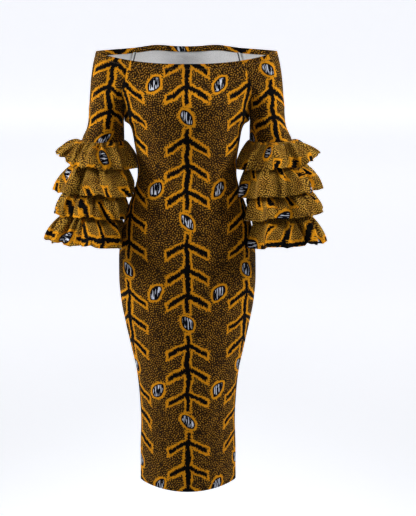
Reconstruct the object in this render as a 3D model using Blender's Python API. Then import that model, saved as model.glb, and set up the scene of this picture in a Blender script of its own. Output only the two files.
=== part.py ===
"""An off-the-shoulder midi dress with tiered ruffle sleeves, as worn, with no wearer in it.

Metres, +Z up, the front facing -Y and the wearer's left at +X. The origin is the centre of the
neck opening, where the chest and both upper arms hold the dress up. The tables are in
millimetres. Every piece is a wall of cloth, with its own points on a middle surface and its two
faces half a thickness to each side.
"""

import math

import bmesh
import bpy
import numpy as np

MM = 0.001

# Driving sizes, in millimetres.
CLOTH = 1.6                  # wall thickness of the stretch print
CASING_CLOTH = 1.2           # the turned-in edge at the neck, pressed flat
SEAM_GAP = 0.3               # between two pieces that are sewn together
CASING_HEIGHT = 13.5         # depth of the turned-in neck edge
UNDERARM_Z = -150.0          # height of both underarm points
HEM_Z = -1056.0              # height of the hem
NECK_HALF_WIDTH = 213.0      # from the centre to the outside of the arm, at the neck edge
NECK_SIDE_Z = 13.5           # height of the neck edge over the arm
FRONT_DIP = 26.5             # how much lower the neck edge is at centre front
FRONT_DIP_POWER = 2.6        # a flat middle that climbs towards the arms
BACK_RISE = 8.5              # how much higher the neck edge is at centre back
BLADE_RISE, BLADE_X, BLADE_SPREAD = 5.0, 75.0, 38.0   # the lift over each shoulder blade
BUST_DEPTH, BUST_X, BUST_SPREAD = 12.0, 76.0, 56.0    # the bust's own fullness, across
BUST_Z, BUST_HEIGHT = -98.0, 46.0                     # and up and down
FACET_ROOM = 0.03            # a little more round the sleeves, whose rings are polygons
BODY_CLEARANCE = 1.2         # between a ruffle and the side of the skirt
MOST_MITRE = 0.8             # a wall's end is mitred up to this lean across its seam
CHORD = 0.94                 # a ruffle arches, so its hem is this share of its length away
PUFF, FALL = 1.5, 1.25        # it stands out from its seam first and falls towards its hem
HEM_LIFT = 0.4               # how far a flute's own stand-off lifts its hem, 1 being all of it
SOFTNESS = 1.5               # how softly a ruffle bends where it meets the skirt
MOST_SWING = 0.5             # a flute's depth as a share of how far the ruffle stands off there

PANEL_STRIPS = 18            # across the front or the back
SLEEVE_STRIPS = 20           # round a sleeve
RUFFLE_STRIPS = 60           # round a ruffle

# Sections of the dress below the underarm. Each half of a section is
# depth * (1 - (x / half_width)^2)^(1 / fullness): 2 is an ellipse, 1 a lens that meets at the
# side seams in a crease. web is how much further the cloth runs out at the side seam alone,
# where it arches over into the sleeve.
TORSO_HEADINGS = ("z", "half_width", "front", "back", "fullness", "web")
TORSO = (
    (-150.0, 134.0, 108.0, 98.0, 2.15, 14.5),
    (-158.0, 132.6, 107.0, 97.0, 2.15, 4.0),
    (-172.0, 130.0, 104.0, 95.0, 2.15, 0.6),
    (-201.0, 125.6, 96.0, 90.0, 2.20, 0.0),
    (-245.0, 119.3, 88.0, 84.0, 2.20, 0.0),
    (-275.0, 118.6, 87.0, 86.0, 2.20, 0.0),
    (-317.0, 127.7, 92.0, 97.0, 2.15, 0.0),
    (-351.0, 140.9, 95.0, 108.0, 2.15, 0.0),
    (-385.0, 151.5, 97.0, 117.0, 2.10, 0.0),
    (-430.0, 161.1, 98.0, 124.0, 2.10, 0.0),
    (-480.0, 166.5, 98.0, 126.0, 2.05, 0.0),
    (-530.0, 167.0, 97.0, 121.0, 2.00, 0.0),
    (-585.0, 163.0, 95.0, 112.0, 1.95, 0.0),
    (-646.0, 152.5, 92.0, 102.0, 1.85, 0.0),
    (-708.0, 139.5, 89.0, 96.0, 1.75, 0.0),
    (-770.0, 127.0, 87.0, 92.0, 1.65, 0.0),
    (-833.0, 121.0, 86.0, 90.0, 1.50, 0.0),
    (-896.0, 118.5, 86.0, 90.0, 1.40, 0.0),
    (-976.0, 120.7, 88.0, 91.0, 1.30, 0.0),
    (-1056.0, 121.0, 90.0, 92.0, 1.20, 0.0),
)
WEB_POWER = 9                # keeps the web close to the side seam

# Sections above the underarm, where one loop of cloth goes round the chest and both arms.
# share runs from the underarm, 0, to the neck edge, 1. taut is how far the cloth has left the
# crease between chest and arm and stretches straight across it.
YOKE_HEADINGS = ("share", "chest", "front", "back", "arm_x", "arm_width", "arm_depth",
                 "front_seam", "back_seam", "taut")
YOKE = (
    (0.00, 147.0, 108.0, 98.0, 192.5, 42.1, 50.0, 148.5, 148.5, 0.00),
    (0.14, 149.0, 109.0, 99.0, 190.5, 41.8, 49.5, 149.8, 149.3, 0.10),
    (0.30, 150.0, 109.0, 100.5, 188.5, 41.8, 49.0, 150.5, 149.0, 0.42),
    (0.45, 150.0, 105.0, 101.5, 186.0, 42.2, 49.0, 151.0, 148.0, 0.80),
    (0.60, 150.0, 99.0, 102.0, 183.0, 43.0, 49.0, 149.0, 144.0, 1.00),
    (0.80, 150.0, 91.0, 101.0, 177.5, 43.7, 48.5, 140.0, 136.0, 1.00),
    (1.00, 150.0, 86.0, 98.0, 169.0, 44.0, 47.5, 130.0, 127.0, 1.00),
)

# Level sections of the base sleeve below the underarm, where the arm leans outwards.
SLEEVE_HEADINGS = ("z", "centre_x", "half_width", "half_depth")
SLEEVE = (
    (-150.0, 192.5, 42.1, 50.0),
    (-164.0, 193.8, 43.8, 49.5),
    (-180.0, 197.0, 47.0, 49.8),
    (-197.0, 200.4, 50.3, 51.0),
    (-257.0, 208.3, 51.0, 52.0),
    (-317.0, 217.0, 52.0, 53.0),
    (-390.0, 227.0, 53.0, 54.0),
)
CUFF_FORWARD = {"left": 12.0, "right": 2.0}   # how far each cuff hangs in front of the side seam

# The ruffles. z is where each is sewn round the base sleeve; length is its cut depth; out,
# front, back and inner are how far its hem stands off there; waves and depth are its flutes,
# crest_deg turns them so that one crest lies there, from 0 at the inside of the arm round by
# the front to 180 at the outside, and uneven makes some flutes wider and deeper than others.
RUFFLE_HEADINGS = ("z", "length", "out", "front", "back", "inner", "waves", "depth",
                   "crest_deg", "uneven")
RUFFLES = {
    "right": (
        (-197.0, 75.0, 58.0, 42.0, 40.0, 28.0, 9, 9.0, 186.0, 0.35),
        (-244.0, 96.0, 57.0, 60.0, 50.0, 22.0, 9, 9.5, 168.0, 0.30),
        (-304.0, 87.0, 51.0, 54.0, 47.0, 11.0, 8, 9.5, 195.0, 0.35),
        (-362.0, 99.0, 60.0, 63.0, 54.0, 9.0, 9, 10.5, 172.0, 0.30),
    ),
    "left": (
        (-197.0, 78.0, 60.0, 46.0, 42.0, 25.0, 9, 9.5, 176.0, 0.30),
        (-244.0, 98.0, 65.0, 60.0, 54.0, 21.0, 8, 10.5, 163.0, 0.35),
        (-304.0, 92.0, 59.0, 62.0, 52.0, 11.0, 9, 9.5, 158.0, 0.30),
        (-362.0, 100.0, 52.0, 66.0, 54.0, 9.0, 8, 10.5, 166.0, 0.35),
    ),
}
RUFFLE_ROWS = 3              # down a ruffle

SIDES = {"left": 1.0, "right": -1.0}

# The print's average colour: golden brown on the body, a little brighter on the ruffles.
BODY_PRINT = (0.160, 0.075, 0.013, 1.0)
RUFFLE_PRINT = (0.200, 0.095, 0.015, 1.0)
CLOTH_ROUGHNESS = 0.8


def column_of(table, names, name):
    """One named column of a table."""
    return np.array([row[names.index(name)] for row in table], float)


def smooth_curve(at, knots, values):
    """A cubic through (knots, values), read at each number in at. Between two knots it is the
    Hermite cubic whose slope at each knot is the harmonic mean of the two slopes beside it, so
    it never overshoots."""
    at = np.clip(np.asarray(at, float), min(knots[0], knots[-1]), max(knots[0], knots[-1]))
    if knots[0] > knots[-1]:
        knots, values = knots[::-1], values[::-1]
    rises = np.diff(values) / np.diff(knots)
    before, after = rises[:-1], rises[1:]
    turning = before * after <= 0
    together = np.where(turning, 1.0, before + after)
    inner = np.where(turning, 0.0, 2 * before * after / together)
    slopes = np.concatenate([rises[:1], inner, rises[-1:]])
    left = np.clip(np.searchsorted(knots, at, side="right") - 1, 0, len(knots) - 2)
    span = knots[left + 1] - knots[left]
    t = (at - knots[left]) / span
    return ((2 * t**3 - 3 * t**2 + 1) * values[left] + (t**3 - 2 * t**2 + t) * span * slopes[left]
            + (3 * t**2 - 2 * t**3) * values[left + 1] + (t**3 - t**2) * span * slopes[left + 1])


def torso_at(z, name):
    return smooth_curve(z, column_of(TORSO, TORSO_HEADINGS, "z"),
                        column_of(TORSO, TORSO_HEADINGS, name))


def yoke_at(share, name):
    return smooth_curve(share, column_of(YOKE, YOKE_HEADINGS, "share"),
                        column_of(YOKE, YOKE_HEADINGS, name))


def sleeve_at(z, name):
    return smooth_curve(z, column_of(SLEEVE, SLEEVE_HEADINGS, "z"),
                        column_of(SLEEVE, SLEEVE_HEADINGS, name))


def neck_edge_z(x, facing):
    """Height of the neck edge at a distance x from the centre; facing is -1 in front, 1 behind."""
    reach = np.minimum(np.abs(x) / NECK_HALF_WIDTH, 1.0)
    front = NECK_SIDE_Z - FRONT_DIP * (1 - reach**FRONT_DIP_POWER)
    blades = BLADE_RISE * np.exp(-(((np.abs(x) - BLADE_X) / BLADE_SPREAD) ** 2))
    back = NECK_SIDE_Z + BACK_RISE * (1 - reach**2) + blades * (1 - reach**4)
    return np.where(facing < 0, front, back)


def bust(x, z):
    """How far the bust pushes the front forward at a point of it."""
    across = np.exp(-(((np.abs(x) - BUST_X) / BUST_SPREAD) ** 2))
    return BUST_DEPTH * across * np.exp(-(((z - BUST_Z) / BUST_HEIGHT) ** 2))


def taut_outline(xs, depths):
    """The depths of a cloth pulled tight over a section: its upper convex hull, read at xs."""
    hull = []
    for point in zip(xs, depths):
        while len(hull) > 1 and ((hull[-1][0] - hull[-2][0]) * (point[1] - hull[-2][1])
                                 >= (point[0] - hull[-2][0]) * (hull[-1][1] - hull[-2][1])):
            hull.pop()
        hull.append(point)
    corners = np.array(hull)
    return np.interp(xs, corners[:, 0], corners[:, 1])


def yoke_section(share, facing):
    """x and depth of half a section over the chest and one arm, from the centre outwards."""
    chest, depth = yoke_at(share, "chest"), yoke_at(share, "front" if facing < 0 else "back")
    arm_x, arm_width = yoke_at(share, "arm_x"), yoke_at(share, "arm_width")
    outside = arm_x + arm_width
    xs = outside * np.sin(np.linspace(0.0, math.pi / 2, 400))
    body = depth * np.sqrt(np.clip(1 - (xs / chest) ** 2, 0.0, None))
    if facing < 0:
        body = body + bust(xs, UNDERARM_Z * (1 - share)) * (xs < chest)
    arm = yoke_at(share, "arm_depth") * np.sqrt(
        np.clip(1 - ((xs - arm_x) / arm_width) ** 2, 0.0, None))
    followed = np.maximum(body, arm)
    taut = yoke_at(share, "taut")
    return xs, (1 - taut) * followed + taut * taut_outline(xs, followed)


def panel_row_below(z, facing, turns):
    """One row of the front or back below the underarm, at the eccentric angles in turns."""
    half_width, fullness = torso_at(z, "half_width"), torso_at(z, "fullness")
    depth = torso_at(z, "front" if facing < 0 else "back")
    x = half_width * np.sin(turns) + torso_at(z, "web") * np.sin(turns) ** WEB_POWER
    y = depth * np.cos(turns) ** (2 / fullness)
    if facing < 0:
        y = y + bust(x, z) * np.cos(turns)
    return np.stack([x, facing * y, np.full_like(x, z)], axis=1)


def panel_row_above(share, facing, turns):
    """One row of the front or back above the underarm, from armhole seam to armhole seam."""
    seam = yoke_at(share, "front_seam" if facing < 0 else "back_seam")
    xs, depths = yoke_section(share, facing)
    x = seam * np.sin(turns)
    y = np.interp(np.abs(x), xs, depths)
    z = UNDERARM_Z + share * (neck_edge_z(x, facing) - UNDERARM_Z)
    return np.stack([x, facing * y, z], axis=1)


def panel_points(facing):
    """Middle surface of the front (-1) or the back (1): rows from the hem up to the neck edge."""
    turns = np.linspace(-math.pi / 2, math.pi / 2, PANEL_STRIPS + 1)
    spread = np.concatenate([np.linspace(HEM_Z, -330.0, 17), np.linspace(-303.0, -172.0, 6),
                             [-160.0, UNDERARM_Z]])
    rows = [panel_row_below(z, facing, turns) for z in spread]
    rows += [panel_row_above(share, facing, turns) for share in np.linspace(0.0, 1.0, 8)[1:]]
    return np.array(rows)


def sleeve_row_above(share, side):
    """One open row of a sleeve above the underarm, from its front seam round the arm to its
    back seam. Each point lies where a ray from the foot of the seam meets the section."""
    row = []
    for facing, turns in ((-1.0, np.linspace(math.pi / 2, 0.0, SLEEVE_STRIPS // 2 + 1)),
                          (1.0, np.linspace(0.0, math.pi / 2, SLEEVE_STRIPS // 2 + 1)[1:])):
        seam = yoke_at(share, "front_seam" if facing < 0 else "back_seam")
        blend = min(share / 0.14, 1.0)
        inner = yoke_at(share, "arm_x") - yoke_at(share, "arm_width")
        seam = (1 - blend) * inner + blend * seam
        xs, depths = yoke_section(share, facing)
        beyond = np.concatenate([[seam], xs[xs > seam]])
        depth = np.interp(beyond, xs, depths)
        if share == 0.0:
            depth[0] = 0.0
        bearing = np.arctan2(depth, beyond - seam)
        bearing[0] = math.pi / 2
        x = np.interp(turns, bearing[::-1], beyond[::-1])
        y = np.interp(turns, bearing[::-1], depth[::-1])
        z = UNDERARM_Z + share * (neck_edge_z(x, facing) - UNDERARM_Z)
        row.append(np.stack([side * x, facing * y, z], axis=1))
    return np.concatenate(row)


def sleeve_row_below(z, side_name):
    """One level, closed ring of the base sleeve, from its underarm seam round by the front,
    with its first point again at its end."""
    side = SIDES[side_name]
    turns = np.linspace(0.0, 2 * math.pi, SLEEVE_STRIPS + 1)
    forward = CUFF_FORWARD[side_name] * ((UNDERARM_Z - z) / (UNDERARM_Z - SLEEVE[-1][0])) ** 1.5
    x = side * (sleeve_at(z, "centre_x") - sleeve_at(z, "half_width") * np.cos(turns))
    y = -forward - sleeve_at(z, "half_depth") * np.sin(turns)
    return np.stack([x, y, np.full_like(x, z)], axis=1)


def unit(vectors):
    return vectors / np.linalg.norm(vectors, axis=-1, keepdims=True)


def outward_normals(points, closed):
    """Unit normals of a grid of points; closed joins its last column to its first."""
    if closed:
        wide = np.concatenate([points[:, -1:], points, points[:, :1]], axis=1)
        along_row = (wide[:, 2:] - wide[:, :-2])
    else:
        along_row = np.gradient(points, axis=1)
    normals = np.cross(along_row, np.gradient(points, axis=0))
    return unit(normals)


def cloth_material(name, colour):
    material = bpy.data.materials.new(name)
    material.use_nodes = True
    shader = material.node_tree.nodes["Principled BSDF"]
    shader.inputs["Base Color"].default_value = colour
    shader.inputs["Roughness"].default_value = CLOTH_ROUGHNESS
    shader.inputs["Metallic"].default_value = 0.0
    return material


def add_wall(name, middle, offsets, closed, colour, thickness=CLOTH):
    """A closed wall of cloth: the middle grid moved half a thickness along its offsets to each
    side, with the two skins joined all round their free edges. Offsets point to the outside."""
    half = thickness / 2
    outer, inner = middle + half * offsets, middle - half * offsets
    rows, columns = middle.shape[:2]
    mesh = bmesh.new()
    skins = []
    for grid in (outer, inner):
        skins.append([[mesh.verts.new(point * MM) for point in row] for row in grid])
    last = columns if closed else columns - 1
    for skin, turned in ((skins[0], False), (skins[1], True)):
        for i in range(rows - 1):
            for j in range(last):
                k = (j + 1) % columns
                corners = [skin[i][j], skin[i][k], skin[i + 1][k], skin[i + 1][j]]
                mesh.faces.new(corners[::-1] if turned else corners)
    rims = []
    for i in (0, rows - 1):
        rims += [(i, j, i, (j + 1) % columns) for j in range(last)]
    if not closed:
        for j in (0, columns - 1):
            rims += [(i, j, i + 1, j) for i in range(rows - 1)]
    for i, j, k, m in rims:
        mesh.faces.new([skins[0][i][j], skins[0][k][m], skins[1][k][m], skins[1][i][j]])
    bmesh.ops.triangulate(mesh, faces=mesh.faces)
    bmesh.ops.recalc_face_normals(mesh, faces=mesh.faces)
    data = bpy.data.meshes.new(name)
    mesh.to_mesh(data)
    mesh.free()
    data.shade_smooth()
    data.set_sharp_from_angle(angle=math.radians(50))
    data.materials.append(cloth_material(name + "_cloth", colour))
    piece = bpy.data.objects.new(name, data)
    bpy.context.scene.collection.objects.link(piece)
    return piece


def ease_from_seam(points, normals, offsets, rows, column, across):
    """Finishes one seam edge. across holds unit vectors from the seam into the piece. The
    wall's end is mitred to lie along the seam, and the edge stands off by half the gap, plus
    what its thickness still takes where the two pieces lie face to face."""
    lean = np.sum(normals[rows, column] * across, axis=1, keepdims=True)
    cut = np.clip(lean, -MOST_MITRE, MOST_MITRE)
    tilted = normals[rows, column] - cut * across
    tilted /= np.sum(tilted * normals[rows, column], axis=1, keepdims=True)
    offsets[rows, column] = tilted
    left_over = CLOTH / 2 * np.abs(np.sum(tilted * across, axis=1, keepdims=True))
    points[rows, column] += across * (SEAM_GAP / 2 + left_over)


def panel_grid(facing):
    """Middle surface and offsets of the front or back, eased at its side and armhole seams."""
    points = panel_points(facing)
    normals = outward_normals(points, closed=False)
    if np.sum(normals[:, PANEL_STRIPS // 2, 1]) * facing < 0:
        normals = -normals
    offsets = normals.copy()
    heights = points[:, 0, 2]
    low = np.flatnonzero(heights <= UNDERARM_Z + 0.5)
    high = np.flatnonzero(heights > UNDERARM_Z + 0.5)
    for column in (0, PANEL_STRIPS):
        inwards = -np.sign(points[0, column, 0])
        ease_from_seam(points, normals, offsets, low, column,
                       np.tile([0.0, facing, 0.0], (len(low), 1)))
        ease_from_seam(points, normals, offsets, high, column,
                       np.tile([inwards, 0.0, 0.0], (len(high), 1)))
    return points, offsets


def sleeve_grid(side_name):
    """Middle surface and offsets of a base sleeve: an open yoke above the underarm, then a tube
    down to the cuff with its seam underneath. Its rows run downwards from the neck edge."""
    side = SIDES[side_name]
    above = [sleeve_row_above(share, side) for share in np.linspace(1.0, 0.0, 8)]
    heights = [-164.0, -180.0, -197.0, -220.0, -244.0, -274.0, -304.0, -333.0, -362.0, -382.0]
    points = np.array(above + [sleeve_row_below(z, side_name) for z in heights])
    normals = outward_normals(points, closed=False)
    if np.sum(normals[:, SLEEVE_STRIPS // 2, 0]) * side < 0:
        normals = -normals
    high = np.arange(len(above) - 1)
    low = np.arange(len(above) - 1, len(points))
    under = unit(normals[low, 0] + normals[low, -1])
    normals[low, 0] = normals[low, -1] = under
    offsets = normals.copy()
    for column, facing in ((0, -1.0), (SLEEVE_STRIPS, 1.0)):
        ease_from_seam(points, normals, offsets, high, column,
                       np.tile([side, 0.0, 0.0], (len(high), 1)))
        points[low, column, 1] += facing * SEAM_GAP / 2
    return points, offsets


def top_band(points, offsets, edge, next_row, depth):
    """The neck edge of one grid and the line a given depth below it, with their offsets."""
    fall = points[next_row] - points[edge]
    share = depth / np.linalg.norm(fall, axis=1, keepdims=True)
    lower = points[edge] + share * fall
    slant = (1 - share) * offsets[edge] + share * offsets[next_row]
    return np.array([points[edge], lower]), np.array([offsets[edge], slant])


def build_casing(name, grids, colour):
    """The neck edge turned to the inside, as one flat band. It is made from the inner faces of
    the front, the back and both sleeves, so it follows them all round."""
    bands = []
    for key, reverse in (("front", False), ("left", False), ("back", True), ("right", True)):
        points, offsets = grids[key]
        edge, next_row = (-1, -2) if key in ("front", "back") else (0, 1)
        top, slant = top_band(points, offsets, edge, next_row, CASING_HEIGHT)
        if reverse:
            top, slant = top[:, ::-1], slant[:, ::-1]
        inset = CLOTH / 2 + SEAM_GAP + CASING_CLOTH / 2
        bands.append((top - inset * slant, slant))
    points = np.concatenate([band[0][:, 1:] for band in bands], axis=1)
    normals = unit(np.concatenate([band[1][:, 1:] for band in bands], axis=1))
    points[0, :, 2] -= 0.5
    return add_wall(name, points, normals, True, colour, CASING_CLOTH)


def skirt_side_x(y, z):
    """Distance from the centre plane to the side of the dress at a depth y and height z."""
    depth = np.where(y < 0, torso_at(z, "front"), torso_at(z, "back"))
    inside = np.clip(1 - np.abs(y / depth) ** torso_at(z, "fullness"), 0.0, None)
    return torso_at(z, "half_width") * np.sqrt(inside)


def build_ruffle(name, side_name, tier, colour):
    """One tier: a ring gathered onto the base sleeve that flares into flutes at its hem."""
    row = dict(zip(RUFFLE_HEADINGS, tier))
    side = SIDES[side_name]
    turns = np.linspace(0.0, 2 * math.pi, RUFFLE_STRIPS, endpoint=False)
    away = np.stack([-side * np.cos(turns), -np.sin(turns), np.zeros_like(turns)], axis=1)
    aside = np.stack([side * np.sin(turns), -np.cos(turns), np.zeros_like(turns)], axis=1)
    ring = sleeve_row_below(row["z"], side_name)
    ring_turns = np.linspace(0.0, 2 * math.pi, SLEEVE_STRIPS + 1)
    seam = np.stack([np.interp(turns, ring_turns, ring[:, k]) for k in range(3)], axis=1)
    seam = seam + (CLOTH + SEAM_GAP + FACET_ROOM) * away
    stand = np.interp(turns, np.radians([0, 90, 180, 270, 360]),
                      [row["inner"], row["front"], row["out"], row["back"], row["inner"]])
    stand = 0.5 * stand + 0.25 * (np.roll(stand, 4) + np.roll(stand, -4))
    crest = math.radians(row["crest_deg"])
    drift = 1.6 * np.sin(2 * turns - 2 * crest) + np.sin(3 * turns - 3 * crest)
    fold = row["waves"] * (turns - crest) + row["uneven"] * drift
    swing = row["depth"] * (1 + row["uneven"] * np.cos(2 * turns - crest))
    swing = np.minimum(swing, MOST_SWING * stand)
    reach = stand + swing * np.cos(fold)
    chord = CHORD * row["length"]
    drop = ((1 - HEM_LIFT) * np.sqrt(chord**2 - stand**2)
            + HEM_LIFT * np.sqrt(chord**2 - reach**2))
    sway = -0.35 * row["depth"] * np.sin(fold)
    rows = []
    for share in np.linspace(0.0, 1.0, RUFFLE_ROWS + 1):
        point = (seam + (reach * (1 - (1 - share) ** PUFF))[:, None] * away
                 + (sway * share**2)[:, None] * aside)
        point[:, 2] -= drop * share**FALL
        limit = skirt_side_x(point[:, 1], point[:, 2]) + 1.5 * CLOTH + BODY_CLEARANCE
        room = (side * point[:, 0] - limit) / SOFTNESS
        eased = np.where(room > 20.0, room, np.log1p(np.exp(np.minimum(room, 20.0))))
        point[:, 0] = side * (limit + SOFTNESS * eased)
        rows.append(point)
    points = np.array(rows)
    normals = outward_normals(points, closed=True)
    if np.sum(normals * away) < 0:
        normals = -normals
    normals[0] = away
    return add_wall(name, points, normals, True, colour)


def main():
    for old in list(bpy.data.objects):
        bpy.data.objects.remove(old)
    grids = {"front": panel_grid(-1.0), "back": panel_grid(1.0)}
    grids.update({side_name: sleeve_grid(side_name) for side_name in SIDES})
    for key, name in (("front", "dress_front"), ("back", "dress_back"),
                      ("left", "sleeve_left"), ("right", "sleeve_right")):
        add_wall(name, *grids[key], False, BODY_PRINT)
    build_casing("neck_casing", grids, BODY_PRINT)
    for side_name in SIDES:
        for number, tier in enumerate(RUFFLES[side_name], start=1):
            build_ruffle(f"ruffle_{side_name}_{number}", side_name, tier, RUFFLE_PRINT)


main()
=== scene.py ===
"""The looks of an off-the-shoulder midi dress with tiered ruffle sleeves, in wax-printed jersey.

Every panel is worked out again from the sections that the solids have, on a finer grid and with
the soft creases, gathers, hems and seams that a solid leaves out. Tables and lengths are in
millimetres, and a mesh gets its points in metres.
"""
import math

import bpy
import numpy as np
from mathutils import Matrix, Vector


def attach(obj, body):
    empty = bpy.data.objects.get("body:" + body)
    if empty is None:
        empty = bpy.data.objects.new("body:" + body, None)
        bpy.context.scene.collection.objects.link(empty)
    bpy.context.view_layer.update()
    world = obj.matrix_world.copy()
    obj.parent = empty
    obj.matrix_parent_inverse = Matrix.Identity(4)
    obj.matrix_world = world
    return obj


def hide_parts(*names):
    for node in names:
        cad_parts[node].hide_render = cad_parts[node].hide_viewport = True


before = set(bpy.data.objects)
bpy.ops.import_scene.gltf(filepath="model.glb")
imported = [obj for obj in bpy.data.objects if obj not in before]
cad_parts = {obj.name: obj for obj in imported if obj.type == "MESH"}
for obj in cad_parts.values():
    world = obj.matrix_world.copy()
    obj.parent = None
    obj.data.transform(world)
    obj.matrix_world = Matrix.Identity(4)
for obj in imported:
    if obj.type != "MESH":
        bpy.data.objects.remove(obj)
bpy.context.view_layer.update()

MM = 0.001
CLOTH = 0.9                  # stretch jersey with its print
TURNED_HEM = 20.0            # depth of the turned-up hem
HEM_EXTRA = 0.25             # half thickness that the turned hem adds
CASING_HEIGHT = 13.5         # depth of the turned-in neck edge
UNDERARM_Z = -150.0
FINE_END_Z = -172.0          # a panel's rows lie closer together down to here
HEM_Z = -1056.0
NECK_HALF_WIDTH = 213.0
NECK_SIDE_Z = 13.5
FRONT_DIP, FRONT_DIP_POWER = 26.5, 2.6
BACK_RISE = 8.5
BLADE_RISE, BLADE_X, BLADE_SPREAD = 5.0, 75.0, 38.0
BUST_DEPTH, BUST_X, BUST_SPREAD = 12.0, 76.0, 56.0
BUST_Z, BUST_HEIGHT = -98.0, 46.0
WEB_POWER = 9                # how close to the side seam the underarm's web stays
ARM_MIDDLE_X = 185.0         # a sleeve's outside is beyond it
SEAM_GAP = 0.15              # half of the gap between two pieces that are sewn together
UNDERARM_GAP = 0.1           # the same at a sleeve's own seam
LAID_GAP = 0.2               # between two layers that lie on each other
ALLOWANCE_HALF = 0.85        # half of an allowance's two pressed layers, per CLOTH
ALLOWANCE_LIFT = (0.5 + ALLOWANCE_HALF) * CLOTH + LAID_GAP
OVERLOCK_PROUD = 0.95        # from an allowance's middle to the stitches on it
OVERLOCK_SLANT = math.radians(62.0)
CHORD = 0.94                 # a ruffle's straight length from seam to hem, per cut length
PUFF, FALL = 1.5, 1.25       # how soon a ruffle stands out, and how late it drops
HEM_LIFT = 0.4               # the share of a ruffle's drop that follows each flute's own reach
MOST_SWING = 0.5             # of a flute, per distance that the ruffle stands out
FLUTE_LEAN, LEAN_START = 0.16, 0.9  # a wave of half the length makes each flute lop-sided
FLUTE_SWAY = 0.62            # how far the crests are drawn together, per depth of a flute
SWAY_POWER = 1.6             # how late down a ruffle they are
WAVE_HEIGHT = 0.5            # of the slow unevenness of a panel or sleeve
HEM_NOTCH = 0.6              # how far a ruffle's hem rises where a fold goes in, per fold's depth
FOLD_HEIGHT = 1.9            # of a ruffle's folds, per height in their table
FOLD_LEAN = 0.35             # how far a ruffle's fold leans round the arm, per height
FOLD_SHARP = 0.55            # the width of a ruffle fold's steep side, per width in its table
FOLD_START = 12.0            # a ruffle's folds rise over this length below its seam
SOFTNESS = 1.5               # how softly a ruffle bends where it meets the skirt
BODY_CLEARANCE = 3.6         # from the skirt's middle surface to a ruffle's

# Sections of the dress below the underarm: half a section is
# depth * (1 - (x / half_width)^2)^(1 / fullness), and web widens it at the side seam alone.
TORSO_HEADINGS = ("z", "half_width", "front", "back", "fullness", "web")
TORSO = (
    (-150, 134, 108, 98, 2.15, 14.5),
    (-158, 132.6, 107, 97, 2.15, 4),
    (-172, 130, 104, 95, 2.15, 0.6),
    (-201, 125.6, 96, 90, 2.20, 0),
    (-245, 119.3, 88, 84, 2.20, 0),
    (-275, 118.6, 87, 86, 2.20, 0),
    (-317, 127.7, 92, 97, 2.15, 0),
    (-351, 140.9, 95, 108, 2.15, 0),
    (-385, 151.5, 97, 117, 2.10, 0),
    (-430, 161.1, 98, 124, 2.10, 0),
    (-480, 166.5, 98, 126, 2.05, 0),
    (-530, 167, 97, 121, 2.00, 0),
    (-585, 163, 95, 112, 1.95, 0),
    (-646, 152.5, 92, 102, 1.85, 0),
    (-708, 139.5, 89, 96, 1.75, 0),
    (-770, 127, 87, 92, 1.65, 0),
    (-833, 121, 86, 90, 1.50, 0),
    (-896, 118.5, 86, 90, 1.40, 0),
    (-976, 120.7, 88, 91, 1.30, 0),
    (-1056, 121, 90, 92, 1.20, 0),
)

# Sections over the chest and both arms; share runs from the underarm, 0, to the neck edge, 1.
YOKE_HEADINGS = ("share", "chest", "front", "back", "arm_x", "arm_width", "arm_depth",
                 "front_seam", "back_seam", "taut")
YOKE = (
    (0.00, 147, 108, 98, 192.5, 42.1, 50, 148.5, 148.5, 0.00),
    (0.14, 149, 109, 99, 190.5, 41.8, 49.5, 149.8, 149.3, 0.10),
    (0.30, 150, 109, 100.5, 188.5, 41.8, 49, 150.5, 149, 0.42),
    (0.45, 150, 105, 101.5, 186, 42.2, 49, 151, 148, 0.80),
    (0.60, 150, 99, 102, 183, 43, 49, 149, 144, 1.00),
    (0.80, 150, 91, 101, 177.5, 43.7, 48.5, 140, 136, 1.00),
    (1.00, 150, 86, 98, 169, 44, 47.5, 130, 127, 1.00),
)

SLEEVE_HEADINGS = ("z", "centre_x", "half_width", "half_depth")
SLEEVE = (
    (-150, 192.5, 42.1, 50),
    (-164, 193.8, 43.8, 49.5),
    (-180, 197, 47, 49.8),
    (-197, 200.4, 50.3, 51),
    (-257, 208.3, 51, 52),
    (-317, 217, 52, 53),
    (-390, 227, 53, 54),
)
CUFF_Z = -384.0
CUFF_FORWARD = {"left": 12.0, "right": 2.0}

# The ruffles: where each is sewn on, its cut depth, how far its hem stands off at the outside,
# front, back and inside of the arm, its flutes, and what makes them uneven.
RUFFLE_HEADINGS = ("z", "length", "out", "front", "back", "inner", "waves", "depth",
                   "crest_deg", "uneven")
RUFFLES = {
    "right": (
        (-197, 75, 58, 42, 40, 28, 9, 9, 186, 0.35),
        (-244, 96, 57, 60, 50, 22, 9, 9.5, 168, 0.30),
        (-304, 87, 51, 54, 47, 11, 8, 9.5, 195, 0.35),
        (-362, 99, 60, 63, 54, 9, 9, 10.5, 172, 0.30),
    ),
    "left": (
        (-197, 78, 60, 46, 42, 25, 9, 9.5, 176, 0.30),
        (-244, 98, 65, 60, 54, 21, 8, 10.5, 163, 0.35),
        (-304, 92, 59, 62, 52, 15, 9, 9.5, 158, 0.30),
        (-362, 100, 52, 66, 54, 9, 8, 10.5, 166, 0.35),
    ),
}
SIDES = {"left": 1.0, "right": -1.0}
# Where on the print each ruffle is cut. They are cut across it, so that its columns run round.
RUFFLE_PRINT = {"left": ((40, 15), (-2, -117), (-8, -5), (62, 65)),
                "right": ((31, 5), (30, 115), (62, 40), (72, 125))}
SLEEVE_PRINT = {"left": (61, 88), "right": (80, 163)}  # where on the print each is cut

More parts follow.
